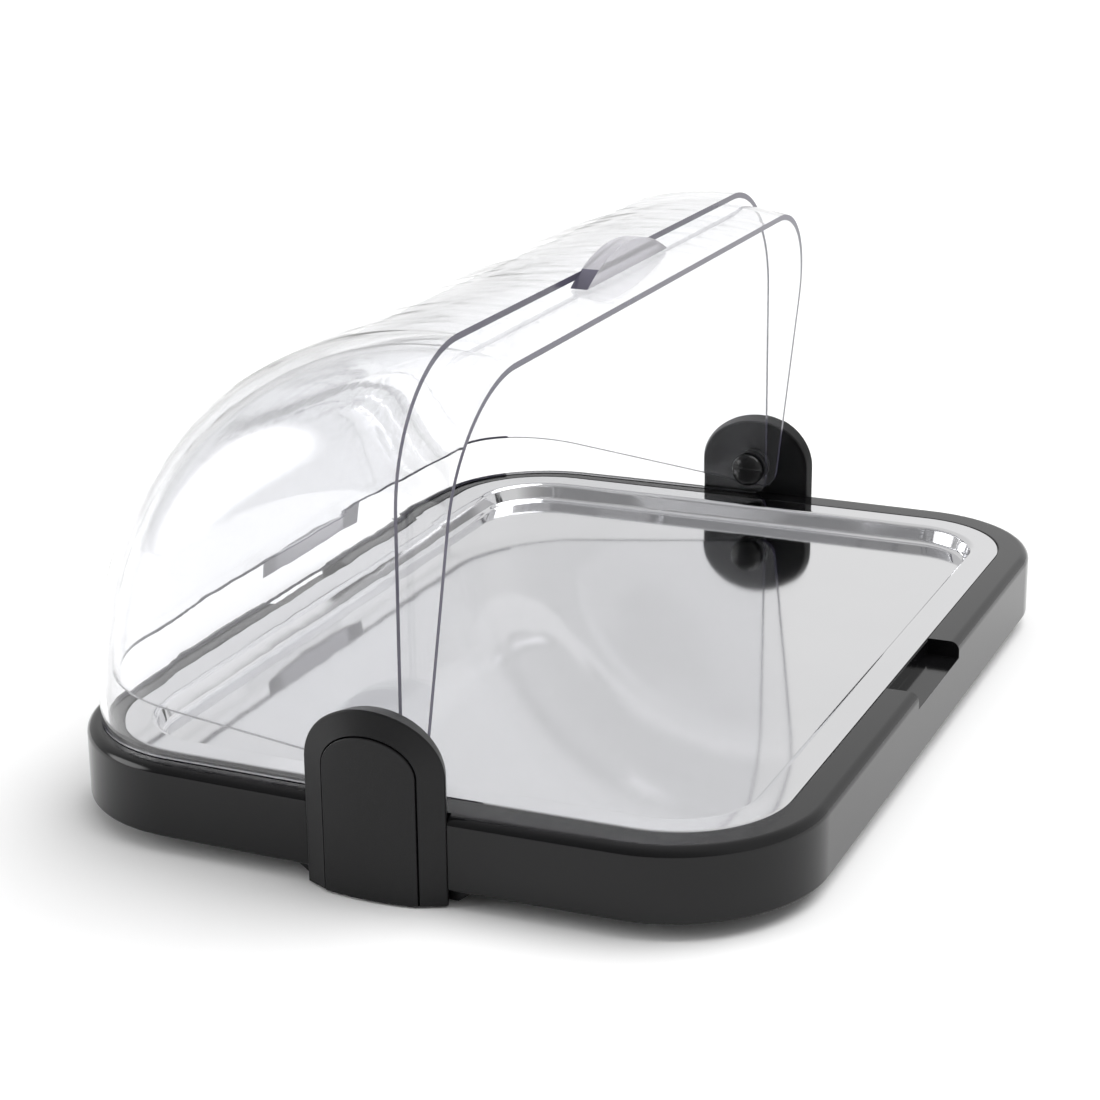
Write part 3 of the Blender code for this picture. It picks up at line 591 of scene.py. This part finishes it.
def makeHood(name, node, radius, halfLength, corner, tabInFront, raised, drop, rise):
    look = hoodLook
    plain, tabbed = look["drop"], look["drop"] - look["tabThick"]
    rear, front = (plain, tabbed) if tabInFront else (tabbed, plain)
    wall = look["wall"]
    outer, rows, rim = hoodSkin(radius, halfLength, corner, rear, front)
    inner = hoodSkin(radius - wall, halfLength - wall, corner - wall, rear, front)[0]
    bm = bmesh.new()
    top = [bm.verts.new(point) for point in outer]
    under = [bm.verts.new(point) for point in inner]
    uses = {}
    cornerMiddle = look["sideSteps"] + look["cornerSteps"] // 2
    for index, face in enumerate(hoodFaces(rows, rim)):
        skins = [bm.faces.new([top[i] for i in face]), bm.faces.new([under[i] for i in reversed(face)])]
        row, step = divmod(index, look["around"])
        # painted shade: the narrow strip beside the start cut edge, across the top, takes the dark edge
        # finish
        if step == 0 and cornerMiddle <= row < rows - 1 - cornerMiddle:
            for skin in skins:
                skin.material_index = 1
        for a, b in zip(face, face[1:] + face[:1]):
            uses.setdefault(frozenset((a, b)), []).append((a, b))
    for used in uses.values():
        # painted shade: the cut faces along the free edges take the dark edge finish
        if len(used) == 1:
            a, b = used[0]
            bm.faces.new((top[b], top[a], under[a], under[b])).material_index = 1
    tilt = Matrix.Rotation(radians(raised), 4, "X")
    place = Matrix.Translation((0, 0, axisZ)) @ tilt
    bmesh.ops.transform(bm, matrix=place, verts=bm.verts)
    shell = linked(name, bm)
    # slot 1 is the painted dark edge shade, slot 2 the painted pale grey grip shade
    for key in ("clear", "paintedEdgeShade", "gripTab"):
        shell.data.materials.append(finishes[key].material)
    softenEdges(shell, look["edgeRound"], 2, 60)
    swap = Matrix(((1, 0, 0, 0), (0, 0, 1, 0), (0, 1, 0, 0), (0, 0, 0, 1)))  # Y and Z change places
    turn = Matrix.Identity(4) if tabInFront else swap
    tabMesh = gripTab(radius, drop, rise)
    bmesh.ops.transform(tabMesh, matrix=place @ turn, verts=tabMesh.verts)
    tab = linked("gripTab", tabMesh)
    for material in shell.data.materials:
        tab.data.materials.append(material)
    softenEdges(tab, look["tabRound"], 2, 60)
    cut(shell, [tab], "UNION")
    settle(shell, [tab])
    dress(shell, "clear", node, [node], 38)


def makeHoods():
    look = hoodLook
    nest = look["nest"]
    makeHood("outerHoodShell", "outer_hood", look["radius"], look["halfLength"], look["corner"],
             True, 0, look["tabDrop"], look["tabRise"])
    makeHood("innerHoodShell", "inner_hood", look["radius"] - nest, look["halfLength"] - nest,
             look["corner"] - nest, False, look["raised"], 0, nest - look["wall"] - look["innerTabClear"])


makeHoods()
print("hoods made")


# Brackets

bracketLook = {"width": 0.0600, "rise": 0.0250, "plate": 0.0070, "bulge": 0.0042, "floor": 0.0010,
               "draft": 0.0014, "slope": 0.0020, "edgeRound": 0.0008, "backRound": 0.0006,
               "coverInset": 0.0102, "coverThick": 0.0018, "coverRound": 0.0004, "groove": 0.00035,
               "proud": 0.0006, "steps": 72}


def archLoop(side, inset, depth, follow=True):
    # closed arch outline: along the bottom from right to left, then over the arch
    look = bracketLook
    half = look["width"] / 2 - inset
    rise = look["rise"] - inset
    spots = []
    for step in range(look["steps"] + 1):
        turn = pi * step / look["steps"]
        spots.append((-half * cos(turn), axisZ + rise * sin(turn)))
    outline = [(y, look["floor"]) for y, z in reversed(spots)] + spots
    loop = []
    for y, z in outline:
        bulge = look["bulge"] * (1 - (2 * y / look["width"]) ** 2) if follow else 0
        loop.append((side * (bracketBack + depth + bulge), y, z))
    return loop


def fillArch(bm, ring):
    # vertical strips between the arch and the bottom line
    count = len(ring) // 2
    bottom = list(reversed(ring[:count]))
    arch = ring[count:]
    for i in range(count - 1):
        bm.faces.new((bottom[i], bottom[i + 1], arch[i + 1], arch[i]))


def makeBracket(name, side):
    look = bracketLook
    plate, slope, edge = look["plate"], look["slope"], look["edgeRound"]
    recess = look["coverInset"] - look["groove"]
    bm = bmesh.new()
    draft, behind = look["draft"], look["backRound"]
    loops = [archLoop(side, draft + behind, 0, False), archLoop(side, draft, behind, False)]
    for inset, out in arc((edge, plate - slope - edge), edge, 180, 108, 5):
        loops.append(archLoop(side, inset, out))
    loops.append(archLoop(side, recess - seatGap, plate))
    loops.append(archLoop(side, recess, plate - seatGap))
    loops.append(archLoop(side, recess, plate - look["coverThick"], False))
    rings = addLoops(bm, loops)
    fillArch(bm, rings[0])
    fillArch(bm, rings[-1])
    obj = linked("bracketPlate_" + name, bm)
    dress(obj, "satin", "base", ["bracket_" + name], 28)
    bm = bmesh.new()
    edge = look["coverRound"]
    back = plate - look["coverThick"] + seatGap
    front = plate + look["proud"]
    loops = [archLoop(side, look["coverInset"], back, False)]
    for inset, out in arc((edge, front - edge), edge, 180, 90, 5):
        loops.append(archLoop(side, look["coverInset"] + inset, out))
    rings = addLoops(bm, loops)
    fillArch(bm, rings[0])
    fillArch(bm, rings[-1])
    obj = linked("bracketCover_" + name, bm)
    dress(obj, "satin", "base", ["bracket_cover_" + name], 28)


clampLook = {"flare": 0.0095, "depth": 0.0200, "low": 0.0010, "shoulder": 0.0020, "edge": 0.0006,
             "wellRadius": 0.0036, "wellDepth": 0.0017}


def makeClamp(name, side):
    look = clampLook
    half = bracketLook["width"] / 2
    high = baseBottom - seatGap
    outer = bracketBack - seatGap
    ends = [(-half - look["flare"], high), (-half - look["shoulder"], look["low"])]
    ends += [(half + look["shoulder"], look["low"]), (half + look["flare"], high)]
    bm = bmesh.new()
    rings = addLoops(bm, [[(side * x, y, z) for y, z in ends] for x in (outer - look["depth"], outer)])
    bm.faces.new(rings[0])
    bm.faces.new(rings[-1])
    obj = linked("clampBar_" + name, bm)
    x = side * (bracketBack - look["depth"] / 2)
    radius, deep = look["wellRadius"], look["wellDepth"]
    hole = turned("screwWell", [(-cutBeyond, 0), (-cutBeyond, radius), (deep, radius), (deep, 0)],
                  (x, 0, look["low"]), (0, 0, 1), 40)
    softenEdges(obj, look["edge"])
    cut(obj, [hole])
    settle(obj, [hole])
    dress(obj, "satin", "base", ["bracket_clamp_" + name], 28)


for sideName, sideSign in sides:
    makeBracket(sideName, sideSign)
    makeClamp(sideName, sideSign)
print("brackets made")


# Pivots

pivotLook = {"pin": 0.0030, "pinRound": 0.0004, "pinInKnob": 0.55, "pinDepth": 0.0036, "knob": 0.0085,
             "knobHeight": 0.0065, "brim": 0.0015, "soft": 0.0003, "washer": 0.0085, "washerHole": 0.0034,
             "washerGap": 0.0002}


def sideWallX(inset):
    look = hoodLook
    return look["halfLength"] - inset + look["draft"] * (look["radius"] - look["corner"] - look["drop"])


def makeRing(name, node, start, end, side):
    look = pivotLook
    inner, outer, soft = look["washerHole"], look["washer"], look["soft"]
    profile = [(start, inner), (end, inner)] + [(end, outer - soft), (end - soft, outer)]
    profile += [(start + soft, outer), (start, outer - soft)]
    obj = turned(name, profile, (0, 0, axisZ), (side, 0, 0))
    dress(obj, "nylon", "base", [node])


def makePivots():
    look = pivotLook
    gap = look["washerGap"]
    outerFace = sideWallX(0)
    innerFace = sideWallX(hoodLook["nest"])
    inside = innerFace - hoodLook["wall"]
    for name, side in sides:
        makeRing("hoodSpacer_" + name, "hood_washer_" + name,
                 innerFace + gap, outerFace - hoodLook["wall"] - gap, side)
        makeRing("bracketSpacer_" + name, "bracket_washer_" + name, outerFace + gap, bracketBack - gap, side)
        tip = inside - look["knobHeight"] * look["pinInKnob"]
        end = bracketBack + look["pinDepth"]
        pin, edge = look["pin"], look["pinRound"]
        profile = [(tip, 0), (tip, pin), (end - edge, pin), (end, pin - edge), (end, 0)]
        obj = turned("pivotPin_" + name, profile, (0, 0, axisZ), (side, 0, 0))
        dress(obj, "zinc", "base", ["pivot_pin_" + name])
        seat, soft, bore = inside - gap, look["soft"], tip - look["soft"]
        rise, brim = look["knobHeight"] - look["brim"], seat - look["brim"]
        profile = [(brim - rise * z, look["knob"] * r) for r, z in arc((0, 0), 1, 90, 0, 16)]
        profile[0] = (profile[0][0], 0)
        profile += [(seat - soft, look["knob"]), (seat, look["knob"] - soft)]
        profile += [(seat, look["washerHole"]), (bore, look["washerHole"]), (bore, 0)]
        obj = turned("pivotKnob_" + name, profile, (0, 0, axisZ), (side, 0, 0))
        dress(obj, "gloss", "base", ["pivot_knob_" + name])


makePivots()
print("pivots made")


# Feet and screws

footLook = {"radius": 0.0095, "soft": 0.0012, "dimple": 0.0004, "dimpleFrom": 0.45, "dimpleTo": 0.55,
            "topRound": 0.0005, "taper": 0.0004}


def makeFeet():
    look = footLook
    for nameY in ("front", "rear"):
        for nameX in ("left", "right"):
            node = "foot_" + nameY + "_" + nameX
            low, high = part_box(node)
            wide, soft, top, taper = look["radius"], look["soft"], high.z, look["taper"]
            profile = [(look["dimple"], 0), (look["dimple"], wide * look["dimpleFrom"])]
            profile += [(0, wide * look["dimpleTo"])] + arc((soft, wide - soft), soft, 180, 90, 6)
            profile += [(top - look["topRound"], wide - taper), (top, wide - 1.5 * taper), (top, 0)]
            obj = turned("rubberFoot_" + nameY + "_" + nameX, profile,
                         ((low.x + high.x) / 2, (low.y + high.y) / 2, 0), (0, 0, 1))
            dress(obj, "rubber", "base", [node])


screwLook = {"headHeight": 0.0014, "headRound": 0.0003, "pitch": 0.0011, "root": 0.80, "firstTurn": 0.0004,
             "pointRoom": 0.0006, "point": 0.0004, "tip": 0.5, "crossLength": 1.25, "crossWidth": 0.28,
             "crossDepth": 0.0008, "crossStep": 0.0001, "above": 0.001}
panScrew = {"radius": 0.0015, "head": 0.0030}
bracketScrew = {"radius": 0.0016, "head": 0.0032}


def makeScrew(name, node, seat, axis, length, size):
    look = screwLook
    radius, head, high, soft = size["radius"], size["head"], look["headHeight"], look["headRound"]
    thin, pitch = radius * look["root"], look["pitch"]
    profile = [(0, 0), (0, head - soft), (soft, head), (high, head), (high, radius)]
    along = high + look["firstTurn"]
    while along + pitch < length - look["pointRoom"]:
        profile += [(along, thin), (along + pitch / 2, radius), (along + pitch, thin)]
        along += pitch
    profile += [(length - look["point"], thin), (length, radius * look["tip"]), (length, 0)]
    obj = turned(name, profile, seat, axis, 32)
    long, wide = head * look["crossLength"] / 2, head * look["crossWidth"] / 2
    deep, above, apart = look["crossDepth"], look["above"], look["crossStep"]
    turn = Vector(axis).to_track_quat("Z", "Y").to_matrix().to_4x4()
    helper = blocks("recess", [((-long, -wide, -above), (long, wide, deep)),
                               ((-wide, -long, -above - 2 * apart), (wide, long, deep + apart))])
    helper.matrix_world = Matrix.Translation(Vector(seat)) @ turn
    cut(obj, [helper])
    obj.modifiers[-1].use_self = True
    settle(obj, [helper])
    dress(obj, "zinc", "base", [node])


def makeScrews():
    for index in range(1, 5):
        node = "pan_screw_" + str(index)
        low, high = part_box(node)
        seat = ((low.x + high.x) / 2, (low.y + high.y) / 2, low.z)
        makeScrew("panScrew_" + str(index), node, seat, (0, 0, 1), high.z - low.z, panScrew)
    for name, side in sides:
        node = "clamp_screw_" + name
        low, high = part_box(node)
        seat = ((low.x + high.x) / 2, 0, low.z)
        makeScrew("clampScrew_" + name, node, seat, (0, 0, 1), high.z - low.z, bracketScrew)
        for index in (1, 2):
            node = "bracket_screw_" + name + "_" + str(index)
            low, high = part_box(node)
            seat = (high.x if side > 0 else low.x, (low.y + high.y) / 2, (low.z + high.z) / 2)
            label = "bracketScrew_" + name + "_" + str(index)
            makeScrew(label, node, seat, (-side, 0, 0), high.x - low.x, bracketScrew)


makeFeet()
makeScrews()
print("feet and screws made")


# Nodes that keep their CAD shape

kept = {"base_pan": "satin", "gel_pack_left": "gel_case", "gel_pack_right": "gel_case",
        "pack_plug_left": "plug", "pack_plug_right": "plug"}
for node, finish in kept.items():
    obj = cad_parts[node]
    for slot in obj.material_slots:
        slot.material = finishes[finish].material
print("kept nodes dressed:", len(kept))


# Floor, light and camera

studioLook = {"floor": (0.92, 0.92, 0.92), "floorFade": 0.995, "floorReach": 9.0,
              "sun": 1.95, "sunWidth": 50, "sunFrom": (0.35, -0.35, 1.0), "toward": (0.95, -0.30, 0.0),
              "skyStops": ((0.0, 0.22), (0.30, 0.50), (0.50, 0.80), (0.76, 0.80), (0.86, 0.90), (0.95, 0.96)),
              "lampToward": (-0.416, 0.866, 0.277), "lampStops": ((0.962, 0.0), (0.988, 1.0)), "lamp": 4.0}


def makeFloor():
    reach = studioLook["floorReach"]
    bm = bmesh.new()
    bmesh.ops.create_grid(bm, x_segments=2, y_segments=2, size=reach)
    floor = linked("studioFloor", bm)
    made = Finish("paleFloor", "floor", Roughness=0.9, Specular_IOR_Level=0.1)
    pale = studioLook["floor"]
    made.feed(Base_Color=made.shades(made.noise(2, 2), pale, faded(pale, studioLook["floorFade"])))
    floor.data.materials.append(made.material)


def skyPart(board, toward, stops, blend):
    # light level that depends on how closely a direction agrees with toward
    where = board.add("ShaderNodeTexCoord", out="Generated")
    values = {0: where, 1: toward}
    facing = board.add("ShaderNodeVectorMath", {"operation": "DOT_PRODUCT"}, values, out="Value")
    share = 0.5 + facing * 0.5
    greys = [(position, (level, level, level, 1)) for position, level in stops]
    return board.add("ShaderNodeValToRGB", {"stops": greys, "blend": blend}, {0: share})


def makeWorld():
    look = studioLook
    world = bpy.data.worlds.new("studioSky")
    bpy.context.scene.world = world
    world.use_nodes = True
    board = Board(world.node_tree)
    sky = skyPart(board, look["toward"], look["skyStops"], "LINEAR")
    lamp = skyPart(board, look["lampToward"], look["lampStops"], "EASE")
    background = board.tree.nodes["Background"]
    board.plug(background.inputs["Color"], sky + lamp * look["lamp"])
    background.inputs["Strength"].default_value = 1.0


def makeLight(name, kind, power, turn):
    data = bpy.data.lights.new(name, kind)
    data.energy = power
    obj = bpy.data.objects.new(name, data)
    obj.rotation_euler = turn.to_euler()
    obj.visible_glossy = False  # lights the floor and is not mirrored in the part
    bpy.context.scene.collection.objects.link(obj)
    return obj


def makeSun():
    look = studioLook
    sun = makeLight("softSun", "SUN", look["sun"], Vector(look["sunFrom"]).to_track_quat("Z", "Y"))
    sun.data.angle = radians(look["sunWidth"])


softboxLook = {"place": (1.0, -1.1, 1.3), "aim": (0.6, -0.7, 0.0), "size": 0.8, "power": 3}


def makeSoftbox():
    look = softboxLook
    toward = Vector(look["aim"]) - Vector(look["place"])
    box = makeLight("frontBox", "AREA", look["power"], toward.to_track_quat("-Z", "Y"))
    box.data.size = look["size"]
    box.location = look["place"]


cameraLook = {"place": (-1.0046, -0.4156, 0.4300), "across": 23.63, "down": 18.25, "roll": -0.60,
              "lens": 82.64, "sensor": 36}


def makeCamera():
    look = cameraLook
    az, el, roll = radians(look["across"]), radians(look["down"]), radians(look["roll"])
    ahead = Vector((cos(el) * cos(az), cos(el) * sin(az), -sin(el)))
    level = Vector((sin(az), -cos(az), 0))
    up = level.cross(ahead)
    right = level * cos(roll) + up * sin(roll)
    upright = up * cos(roll) - level * sin(roll)
    data = bpy.data.cameras.new("camera")
    data.lens = look["lens"]
    data.sensor_width = look["sensor"]
    obj = bpy.data.objects.new("camera", data)
    turn = Matrix((right, upright, -ahead)).transposed().to_4x4()
    obj.matrix_world = Matrix.Translation(look["place"]) @ turn
    bpy.context.scene.collection.objects.link(obj)
    bpy.context.scene.camera = obj


makeFloor()
makeWorld()
makeSun()
makeSoftbox()
makeCamera()
scene = bpy.context.scene
scene.view_settings.view_transform = "Standard"
# four clear walls and a mirror in line need long light paths
scene.cycles.max_bounces = 28
scene.cycles.transmission_bounces = 24
scene.cycles.glossy_bounces = 8
print("studio made")
